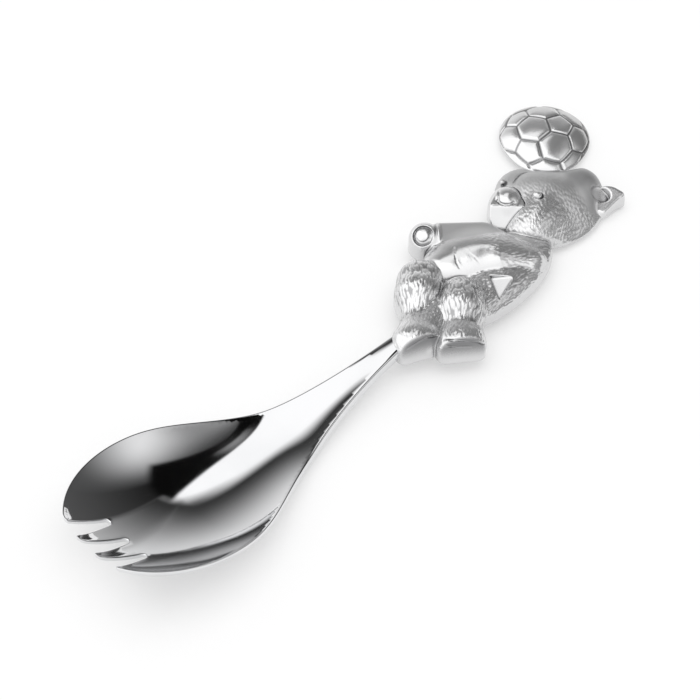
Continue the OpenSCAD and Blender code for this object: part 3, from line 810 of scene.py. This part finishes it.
def turnedPlan(p, at, turn):
    c, s = math.cos(math.radians(turn)), math.sin(math.radians(turn))
    x, y = p[:, 0] - at[0], p[:, 1] - at[1]
    return c * x + s * y, c * y - s * x


def egg(p, at, size, turn=0.0, standing=True):  # a standing one has upright sides below its middle
    x, y = turnedPlan(p, at, turn)
    z = p[:, 2] - at[2]
    if standing:
        z = np.maximum(z, 0)
    near = np.sqrt((x / size[0]) ** 2 + (y / size[1]) ** 2 + (z / size[2]) ** 2)
    steep = np.sqrt((x / size[0] ** 2) ** 2 + (y / size[1] ** 2) ** 2 + (z / size[2] ** 2) ** 2)
    return near * (near - 1) / np.maximum(steep, 1e-6)


def dome(p, at, size, top, edge, turn):  # low vault over an oval, falling to an edge above its upright side
    blunt, curve = 0.05, 1.5  # the crown is blunted, and the fall steepens outwards
    x, y = turnedPlan(p, at, turn)
    x, y = x / size[0], y / size[1]
    near = np.sqrt(x * x + y * y + blunt)
    steep = np.maximum(np.sqrt((x / size[0]) ** 2 + (y / size[1]) ** 2), 1e-6)
    fall = curve * (top - edge) * steep / np.sqrt(near)
    over = (p[:, 2] - top + (top - edge) * near ** curve) / np.sqrt(1 + fall * fall)
    return softMax(over, near * (near - 1) / steep, 0.5)


def limb(p, a, b, ra, rb, flat=1.0):  # tapered limb lying along the back, with upright sides
    ax, ay = b[0] - a[0], b[1] - a[1]
    t = np.clip(((p[:, 0] - a[0]) * ax + (p[:, 1] - a[1]) * ay) / (ax * ax + ay * ay), 0, 1)
    rise = np.maximum(p[:, 2] - (a[2] + (b[2] - a[2]) * t), 0) / flat
    side = (p[:, 0] - a[0] - t * ax) ** 2 + (p[:, 1] - a[1] - t * ay) ** 2
    return np.sqrt(side + rise * rise) - (ra + (rb - ra) * t)


def pathGap(p, path):  # distance from a line through a few points
    best = np.full(len(p), np.inf)
    for a, b in zip(path[:-1], path[1:]):
        a, b = np.array(a), np.array(b)
        d = b - a
        t = np.clip(((p - a) @ d) / (d @ d), 0, 1)
        best = np.minimum(best, np.linalg.norm(p - a - t[:, None] * d, axis=1))
    return best


def armCrook(p):  # three-sided hollow between arm and rump, open upwards, its floor falling towards the feet
    corners, q = bearShape["crook"], p[:, :2]
    mid = np.mean(corners, axis=0)
    inside = None
    for i in range(3):
        a, b = np.array(corners[i]), np.array(corners[(i + 1) % 3])
        n = unit(np.array((b[1] - a[1], a[0] - b[0])))
        side = (q - a) @ (n if (mid - a) @ n < 0 else -n)
        inside = side if inside is None else softMax(inside, side, 0.3)
    floor = bearShape["crookFloor"] + ((q - mid) @ np.array((0.95, 0.3))) * bearShape["crookTilt"]
    return softMax(inside - bearShape["crookRound"], floor - p[:, 2], 0.3)


def earCup(p):  # the ear's hollow, its floor falling towards the front
    wide, long = bearShape["cup"]
    x, y = p[:, 0] - bearShape["cupAt"][0], p[:, 1] - bearShape["cupAt"][1]
    rim = (np.sqrt(((0.73 * x - 0.68 * y) / wide) ** 2 + ((0.68 * x + 0.73 * y) / long) ** 2) - 1) * long
    floor = bearShape["cupFloor"] - bearShape["cupFall"] * (0.13 * x - 0.99 * y)
    return softMax(rim, (floor - p[:, 2]) * 0.82, 0.3)


def flatFace(p, name):
    at, out = bearFlats[name]
    return (p - np.array(at)) @ np.array(out)


def toBall(p):
    return np.hypot(p[:, 0] - ball["at"][0], p[:, 1] - ball["at"][1])


def headForms(p, form):  # head, brow, muzzle and ear, each cut clear of the others
    head = softMin(dome(p, *bearShape["skull"]), form["cheek"], 3.0)
    head = softMin(head, form["forehead"], 1.6)
    head = softMax(head, form["headRim"], 0.5)
    head = softMin(head, form["underEye"], 2.0)
    head = softMin(head, form["nape"], 1.6)
    start, steep, cosine = bearShape["ballFall"]
    head = softMax(head, (p[:, 2] - steep * (toBall(p) - start)) * cosine, 0.7)
    jaw = softMax(form["jaw"], flatFace(p, "chin"), 0.5)
    jaw = softMax(jaw, flatFace(p, "underChin"), 0.9)
    muzzle = softMin(form["muzzle"], softMax(jaw, p[:, 2] - bearShape["lipTop"], 0.3), 0.3)
    head = np.maximum(head, bearShape["muzzleGap"] - muzzle)
    brow = np.maximum(form["brow"], bearShape["muzzleGap"] - muzzle)
    ear = softMax(form["ear"], flatFace(p, "earSide"), 0.4)
    ear = softMin(ear, form["earTip"], 0.8)
    ear = softMax(ear, flatFace(p, "earFront"), 0.4)  # the ear tips forward
    cup = earCup(p)
    return softMax(head, -cup, 0.25), brow, muzzle, softMax(ear, -cup, 0.25)


def bearParts(p):
    form = {name: egg(p, *values) for name, values in bearEggs.items()}
    form.update({name: limb(p, *values) for name, values in bearLimbs.items()})
    head, brow, muzzle, ear = headForms(p, form)
    return {
        "head": head, "brow": brow, "farEye": egg(p, bearShape["farEyeAt"], bearShape["farEye"], 0, False),
        "muzzle": muzzle, "land": form["land"], "ear": ear,
        "torso": form["torso"], "neck": form["neck"], "rump": form["rump"],
        "farArm": softMax(form["farArm"], p[:, 2] - bearShape["farArmTop"], 0.4),
        "cuff": form["cuff"], "farPaw": form["farPaw"],
        "nearArm": softMin(form["foreArm"], form["upperArm"], 1.4), "nearPaw": form["nearPaw"],
        "farLeg": softMin(form["farShin"], form["farKnee"], 1.5),
        "nearLeg": softMin(form["nearShin"], form["nearKnee"], 1.5), "lap": form["lap"],
        "farFoot": softMax(form["farFoot"], flatFace(p, "farTread"), 0.9),
        "nearFoot": softMax(form["nearFoot"], flatFace(p, "nearTread"), 0.9),
    }


def engrave(d, near, wide, deep):  # cuts a groove of even depth where near is small
    return softMax(d, -np.maximum(near - wide, -d - deep), 0.12)


def bearSurface(p):
    q = bearParts(p)
    body = np.maximum(softMin(q["rump"], q["lap"], 0.8), -armCrook(p))
    arm = softMin(q["torso"], q["nearArm"], 1.4)
    body = softMin(body, softMin(q["nearPaw"], arm, 0.5), 0.4)
    body = softMin(softMin(body, q["neck"], 0.8), q["farArm"], 0.8)
    paw = softMin(q["farPaw"], q["cuff"], 0.25)
    pad = np.linalg.norm(p - np.array(bearShape["padAt"]), axis=1)
    paw = engrave(paw, np.abs(pad - bearShape["padRadius"]), bearShape["padRing"], bearShape["padDepth"])
    body = softMin(body, paw, 0.35)
    body = softMin(body, softMin(q["farLeg"], q["farFoot"], 2.4), 0.4)
    body = softMin(body, softMin(q["nearLeg"], q["nearFoot"], 2.4), 0.4)
    head = softMin(q["head"], q["brow"], 0.35)
    eye, turn = np.array(bearShape["eyeAt"]), bearShape["eyeTurn"]
    socket = egg(p, eye + np.array(bearShape["socketOff"]), bearShape["socket"], turn, False)
    head = softMax(head, -socket, 0.1)  # hollow behind the eye
    head = softMin(head, egg(p, eye, bearShape["eye"], turn, False), 0.05)
    head = softMin(head, q["farEye"], 0.2)
    head = softMin(head, q["land"], 0.8)
    head = softMin(head, q["ear"], 0.4)
    head = np.minimum(head, q["muzzle"])
    d = softMin(body, head, 0.4)
    for wide, path in bearLines.values():
        d = engrave(d, pathGap(p, path), wide, wide * lineDepth)
    x, y = p[:, 0] - ball["at"][0], p[:, 1] - ball["at"][1]
    low = drawnOut(x, y, -ball["radius"] - ball["reach"])
    d = np.maximum(d, ball["radius"] - np.hypot(x + low * faceUp[0], y + low * faceUp[1]))  # seat for the ball
    return softMax(d, -p[:, 2], bearShape["back"])


# Fur on each form: how strongly it is cut, the line the strokes follow and how short they are
bodyRun = ((38.0, -4.0), (14.0, -6.0))
farLegRun = ((14.4, 8.2), (7.6, 1.6))
nearLegRun = ((16.8, -0.3), (11.4, -5.4))
furRule = {
    "head": (0.8, "fan", 1.0), "brow": (0.5, "fan", 1.0),
    "torso": (0.12, bodyRun, 1.0), "rump": (0.8, bodyRun, 0.8),
    "nearArm": (0.6, ((33.4, -0.6), (22.4, 6.8)), 0.9), "lap": (0.8, farLegRun, 0.8),
    "farLeg": (1.0, farLegRun, 0.65), "farFoot": (0.7, farLegRun, 0.7),
    "nearLeg": (1.0, nearLegRun, 0.65), "nearFoot": (0.7, nearLegRun, 0.7),
}
furCut = {"Stroke Length": 1.0, "Stroke Width": 0.36, "Depth": 0.1, "Wander": 0.25, "Seed": 4}
furPlaces = {
    "fanFrom": (58.0, 34.0), "fanSpread": 30, "limbSpread": 4.5, "formGap": 11.0, "blend": 0.18,
    "eyeLevel": (43.8, 6.9), "armMiddle": (27.8, 4.2), "worn": (-4.2, -1.4), "foreArm": (25.5, 29.5),
    "nape": (50.6, 52.6), "clearOfBall": (11.5, 16.5), "headFoot": (0.3, 1.0), "bodyFoot": (0.8, 3.2),
    "forehead": 0.5, "foreheadFrom": (1.4, 4.4), "roundEye": (0.9, 1.5),
}
bearTone = {  # how dark the patina stays in the hollows, how strong the painted shade is on the soles, behind the ear and on the bridge to the ball, and which forms are matte or bright
    "look": 0.7, "sole": 0.75, "earCup": 0.45, "cheek": 0.5, "shadeBehindEarFrom": (50.5, 53.5), "bridgeShade": 0.6,
    "faceMatte": 0.25, "faceFrom": (-0.6, 2.0), "backFrom": (1.0, 2.5),
    "matte": ("head", "brow", "torso", "farArm", "neck", "land"),
    "bright": ("nearArm", "nearPaw", "muzzle", "ear", "rump", "cuff", "farPaw", "farLeg", "nearLeg"),
}
bearGrid = {
    "cell": 0.175, "quick": 0.3, "coarse": 4, "back": 0.03,
    "low": (-2.4, -14.4, -0.9), "high": (63.0, 20.4, 10.6),
}


def bearNormal(p, step=0.02):
    k = np.array([(1, -1, -1), (-1, -1, 1), (-1, 1, -1), (1, 1, 1)], float)
    n = sum(e * bearSurface(p + e * step)[:, None] for e in k)
    return n / np.maximum(np.linalg.norm(n, axis=1, keepdims=True), 1e-9)


def finer(a, parts):  # each cell split into so many along every axis
    for axis in range(3):
        a = np.repeat(a, parts, axis)
    return a


def bearSkin(cell):  # walks the shape's zero surface and returns its points and four-sided faces
    coarse, low, high = bearGrid["coarse"], np.array(bearGrid["low"]), np.array(bearGrid["high"])
    blocks = np.ceil((high - low) / (cell * coarse)).astype(int)
    axes = [low[i] + cell * coarse * np.arange(blocks[i] + 1) for i in range(3)]
    rough = bearSurface(np.stack(np.meshgrid(*axes, indexing="ij"), -1).reshape(-1, 3)).reshape(blocks + 1)
    reach = cell * coarse * 1.6
    keep = np.zeros(blocks, bool)
    for i, j, k in np.ndindex(2, 2, 2):
        keep |= np.abs(rough[i:blocks[0] + i, j:blocks[1] + j, k:blocks[2] + k]) < reach
    shape = blocks * coarse + 1
    value = np.pad(finer(rough[:-1, :-1, :-1], coarse), ((0, 1), (0, 1), (0, 1)), mode="edge")
    near = np.pad(finer(keep, coarse), ((0, 1), (0, 1), (0, 1)))
    for axis in range(3):
        near = near | np.roll(near, 1, axis)
    spots = np.argwhere(near)
    for part in np.array_split(np.arange(len(spots)), max(1, len(spots) // 400000)):
        s = spots[part]
        value[s[:, 0], s[:, 1], s[:, 2]] = bearSurface(low + s * cell)
    cells, crossings = [], []
    for axis in range(3):
        a = np.take(value, range(shape[axis] - 1), axis)
        b = np.take(value, range(1, shape[axis]), axis)
        cross = np.argwhere((a < 0) != (b < 0))
        va, vb = a[tuple(cross.T)], b[tuple(cross.T)]
        at = cross.astype(float)
        at[:, axis] += va / (va - vb)
        j, k = (axis + 1) % 3, (axis + 2) % 3
        around = []
        for dj, dk in ((-1, -1), (0, -1), (0, 0), (-1, 0)):
            c = cross.copy()
            c[:, j] += dj
            c[:, k] += dk
            around.append((c[:, 0] * shape[1] + c[:, 1]) * shape[2] + c[:, 2])
        around = np.stack(around, 1)
        around[va >= 0] = around[va >= 0][:, ::-1]
        cells.append(around.ravel())
        crossings.append(np.repeat(at, 4, 0))
    ids, back = np.unique(np.concatenate(cells), return_inverse=True)
    where = np.zeros((len(ids), 3))
    count = np.zeros(len(ids))
    np.add.at(where, back, np.vstack(crossings))
    np.add.at(count, back, 1)
    return low + cell * where / count[:, None], back.reshape(-1, 4)


def upFace(p, at):  # how far up the face a point lies from a place in plan
    return (p[:, :2] - np.array(at)) @ faceUp


def fromEye(p):
    return np.linalg.norm(p - np.array(bearShape["eyeAt"]), axis=1)


def furOn(p, parts):  # strength of the fur at each point, and where it lies along and across its stroke
    names = list(parts)
    d = np.stack([parts[n] for n in names], 1)
    best, who = d.min(1), d.argmin(1)
    weight = np.exp(-np.minimum((d - best[:, None]) / furPlaces["blend"], 40))
    amount = np.array([furRule.get(n, (0.0,))[0] for n in names])
    fur = (weight * amount).sum(1) / weight.sum(1)
    flow = np.zeros_like(p)
    for i, n in enumerate(names):
        if n not in furRule:
            continue
        m = who == i
        run, short = furRule[n][1:]
        if run == "fan":  # strokes of the head run out from one place
            off = p[m, :2] - np.array(furPlaces["fanFrom"])
            along = np.hypot(off[:, 0], off[:, 1]) + 0.8 * (8 - p[m, 2])
            across = np.arctan2(off[:, 1], off[:, 0]) * furPlaces["fanSpread"]
            flow[m] = np.stack([along, across, np.zeros(m.sum())], 1)
        else:
            a, b = (np.array(v) for v in run)
            way = unit(b - a)
            off = p[m, :2] - a
            side = off @ np.array((-way[1], way[0]))
            if n in ("farLeg", "nearLeg"):
                fur[m] *= ease(*furPlaces["worn"], off @ way)  # the knees are worn smooth
            across = np.arctan2(side, np.maximum(p[m, 2] - 1.0, 0.3)) * furPlaces["limbSpread"]
            flow[m] = np.stack([off @ way * short, across, np.full(m.sum(), furPlaces["formGap"] * i)], 1)
    head = parts["head"] < best + 0.6
    forehead = ease(*furPlaces["foreheadFrom"], upFace(p, furPlaces["eyeLevel"]))
    onHead = ease(*furPlaces["headFoot"], p[:, 2]) * (1 - ease(*furPlaces["nape"], p[:, 0]))
    onHead = onHead * (1 - furPlaces["forehead"] * forehead)
    onBody = ease(*furPlaces["bodyFoot"], p[:, 2])
    fur *= ease(*furPlaces["clearOfBall"], toBall(p)) * np.where(head, onHead, onBody)
    fur *= np.where(who == names.index("nearArm"), ease(*furPlaces["foreArm"], p[:, 0]), 1)
    for foot, tread in bearSoles:  # soles, the hollow of the arm, ear, muzzle and eye stay smooth
        fur *= np.where(parts[foot] < best + 1.5, ease(0.15, 0.7, -flatFace(p, tread)), 1)
    fur *= ease(0.1, 0.5, armCrook(p))
    fur *= ease(0.2, 1.0, parts["ear"]) * ease(0.1, 0.9, parts["muzzle"])
    fur *= ease(*furPlaces["roundEye"], fromEye(p))
    return fur, flow


def bearPatinaAndShade(p, parts):  # dark patina in the hollows, and painted shade on the soles, on the head behind the ear and on the bridge to the ball
    look = bearTone["look"]
    dark = np.clip(1 - bearSurface(p + bearNormal(p) * look) / look, 0, 1)
    for foot, tread in bearSoles:
        # painted shade on the soles
        sole = ease(1.0, 0.1, np.abs(flatFace(p, tread))) * ease(0.8, 0.2, parts[foot])
        dark = np.maximum(dark, bearTone["sole"] * sole * ease(-2.0, 5.0, p[:, 2]))
    # painted shade on the side of the head behind the ear
    cheek = ease(*bearTone["shadeBehindEarFrom"], p[:, 0]) * ease(0.1, 0.6, parts["ear"]) * ease(1.0, 3.0, p[:, 2])
    # painted shade on the low bridge between head and ball
    bridgeShade = ease(0.4, 0.1, parts["land"]) * ease(0.1, 0.6, parts["head"])
    dark = np.maximum(dark, bearTone["earCup"] * ease(0.3, 0.05, np.abs(earCup(p))))
    return np.maximum(np.maximum(dark, bearTone["cheek"] * cheek), bearTone["bridgeShade"] * bridgeShade)


def bearMatte(p, parts):  # forehead, far arm and back, which the buffing wheel left dull
    dull = np.minimum.reduce([parts[n] for n in bearTone["matte"]])
    bright = np.minimum.reduce([parts[n] for n in bearTone["bright"]])
    least = bearTone["faceMatte"]
    face = least + (1 - least) * ease(*bearTone["faceFrom"], upFace(p, furPlaces["eyeLevel"]))
    behindArm = ease(*bearTone["backFrom"], upFace(p, furPlaces["armMiddle"]))
    clear = np.where(parts["torso"] < dull + 0.3, behindArm, 1)
    matte = clear * ease(-0.3, 0.4, bright - dull) * np.where(parts["head"] < dull + 0.3, face, 1)
    return matte * ease(*furPlaces["roundEye"], fromEye(p))


def furTree():
    g = bpy.data.node_groups.new("castFur", "GeometryNodeTree")
    g.interface.new_socket("Geometry", in_out="INPUT", socket_type="NodeSocketGeometry")
    for name in ("Stroke Length", "Stroke Width", "Depth", "Wander"):
        g.interface.new_socket(name, in_out="INPUT", socket_type="NodeSocketFloat")
    g.interface.new_socket("Seed", in_out="INPUT", socket_type="NodeSocketInt")
    g.interface.new_socket("Material", in_out="INPUT", socket_type="NodeSocketMaterial")
    g.interface.new_socket("Geometry", in_out="OUTPUT", socket_type="NodeSocketGeometry")
    a, z = g.nodes.new("NodeGroupInput"), g.nodes.new("NodeGroupOutput")

    def named(name, kind):
        n = g.nodes.new("GeometryNodeInputNamedAttribute")
        n.data_type = kind
        n.inputs["Name"].default_value = name
        return n.outputs["Attribute"]

    def vector(operation, p, q):
        n = g.nodes.new("ShaderNodeVectorMath")
        n.operation = operation
        feed(g, p, n.inputs[0])
        feed(g, q, n.inputs["Scale"] if operation == "SCALE" else n.inputs[1])
        return n.outputs[0]

    def combined(x, y):
        n = g.nodes.new("ShaderNodeCombineXYZ")
        feed(g, x, n.inputs[0])
        feed(g, y, n.inputs[1])
        return n.outputs[0]

    flow, fur = named("flow", "FLOAT_VECTOR"), named("fur", "FLOAT")
    wander = g.nodes.new("ShaderNodeTexNoise")
    setInputs(wander, Scale=0.45, Detail=1.0)
    link(g, flow, wander.inputs["Vector"])
    stray = vector("SUBTRACT", wander.outputs["Color"], (0.5, 0.5, 0.5))
    bent = vector("ADD", flow, vector("SCALE", stray, times(g, a.outputs["Wander"], 4.0)))
    over = [mathNode(g, "DIVIDE", 1.0, a.outputs[n]) for n in ("Stroke Length", "Stroke Width")]
    start = combined(times(g, a.outputs["Seed"], 7.31), times(g, a.outputs["Seed"], 3.17))
    strokes = g.nodes.new("ShaderNodeTexVoronoi")
    strokes.voronoi_dimensions = "2D"
    strokes.feature = "F1"
    setInputs(strokes, Scale=1.0, Randomness=1.0)
    link(g, vector("ADD", vector("MULTIPLY", bent, combined(*over)), start), strokes.inputs["Vector"])
    ridge = rangeNode(g, strokes.outputs["Distance"], 0.08, 0.72, 1.0, 0.0)
    normal = g.nodes.new("GeometryNodeInputNormal")
    lift = times(g, times(g, mathNode(g, "SUBTRACT", ridge, 0.55), a.outputs["Depth"]), fur)
    move = g.nodes.new("GeometryNodeSetPosition")
    link(g, a.outputs["Geometry"], move.inputs["Geometry"])
    link(g, vector("SCALE", normal.outputs[0], times(g, lift, milli)), move.inputs["Offset"])
    keep = g.nodes.new("GeometryNodeStoreNamedAttribute")
    keep.data_type, keep.domain = "FLOAT", "POINT"
    keep.inputs["Name"].default_value = "furLow"
    link(g, move.outputs["Geometry"], keep.inputs["Geometry"])
    link(g, times(g, mathNode(g, "SUBTRACT", 1.0, ridge), fur), keep.inputs["Value"])
    real, dress = g.nodes.new("GeometryNodeRealizeInstances"), g.nodes.new("GeometryNodeSetMaterial")
    link(g, keep.outputs["Geometry"], real.inputs["Geometry"])
    link(g, real.outputs["Geometry"], dress.inputs["Geometry"])
    link(g, a.outputs["Material"], dress.inputs["Material"])
    link(g, dress.outputs["Geometry"], z.inputs["Geometry"])
    return g


def closeBack(mesh):  # the flat back is one face
    m = bmesh.new()
    m.from_mesh(mesh)
    bmesh.ops.holes_fill(m, edges=[e for e in m.edges if e.is_boundary], sides=0)
    for f in m.faces:
        if len(f.verts) > 4:
            f.smooth = False
    m.to_mesh(mesh)
    m.free()


def makeBear():
    cell = bearGrid["cell"]
    points, quads = bearSkin(cell)
    for i in range(3):  # drawn onto the true surface
        points -= bearNormal(points) * np.clip(bearSurface(points), -cell, cell)[:, None]
    onBack = (points[quads][:, :, 2] < bearGrid["back"]).all(1)  # closed again below with one face
    used, quads = np.unique(quads[~onBack], return_inverse=True)
    points, quads = points[used], quads.reshape(-1, 4)
    parts = bearParts(points)
    fur, flow = furOn(points, parts)
    rough = meshObject("bearRough", placedHandle(points), quads)
    pointValue(rough.data, "fur", fur)
    pointValue(rough.data, "patinaAndShade", bearPatinaAndShade(points, parts))
    pointValue(rough.data, "matte", bearMatte(points, parts))
    pointValue(rough.data, "flow", flow, "FLOAT_VECTOR")
    closeBack(rough.data)
    tree = furTree()
    cut = rough.modifiers.new("castFur", "NODES")
    cut.node_group = tree
    values = dict(furCut, Material=pewter)
    for item in tree.interface.items_tree:
        if item.in_out == "INPUT" and item.name in values:
            cut[item.identifier] = values[item.name]
    done = bpy.data.meshes.new_from_object(rough.evaluated_get(bpy.context.evaluated_depsgraph_get()))
    rough.modifiers.remove(cut)
    bpy.data.objects.remove(rough)
    done.name = "bearCasting"
    obj = bpy.data.objects.new("bearCasting", done)
    bpy.context.scene.collection.objects.link(obj)
    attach(obj, "root")
    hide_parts("bear_casting")
    print("spork: bear has", len(done.polygons), "faces")


makeBear()

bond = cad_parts["tang_bond"]  # the glue line keeps its solid and gets its finish
bond = bpy.data.objects[bond] if isinstance(bond, str) else bond
for s in bond.material_slots:
    s.material = epoxy
if not bond.material_slots:
    bond.data.materials.append(epoxy)
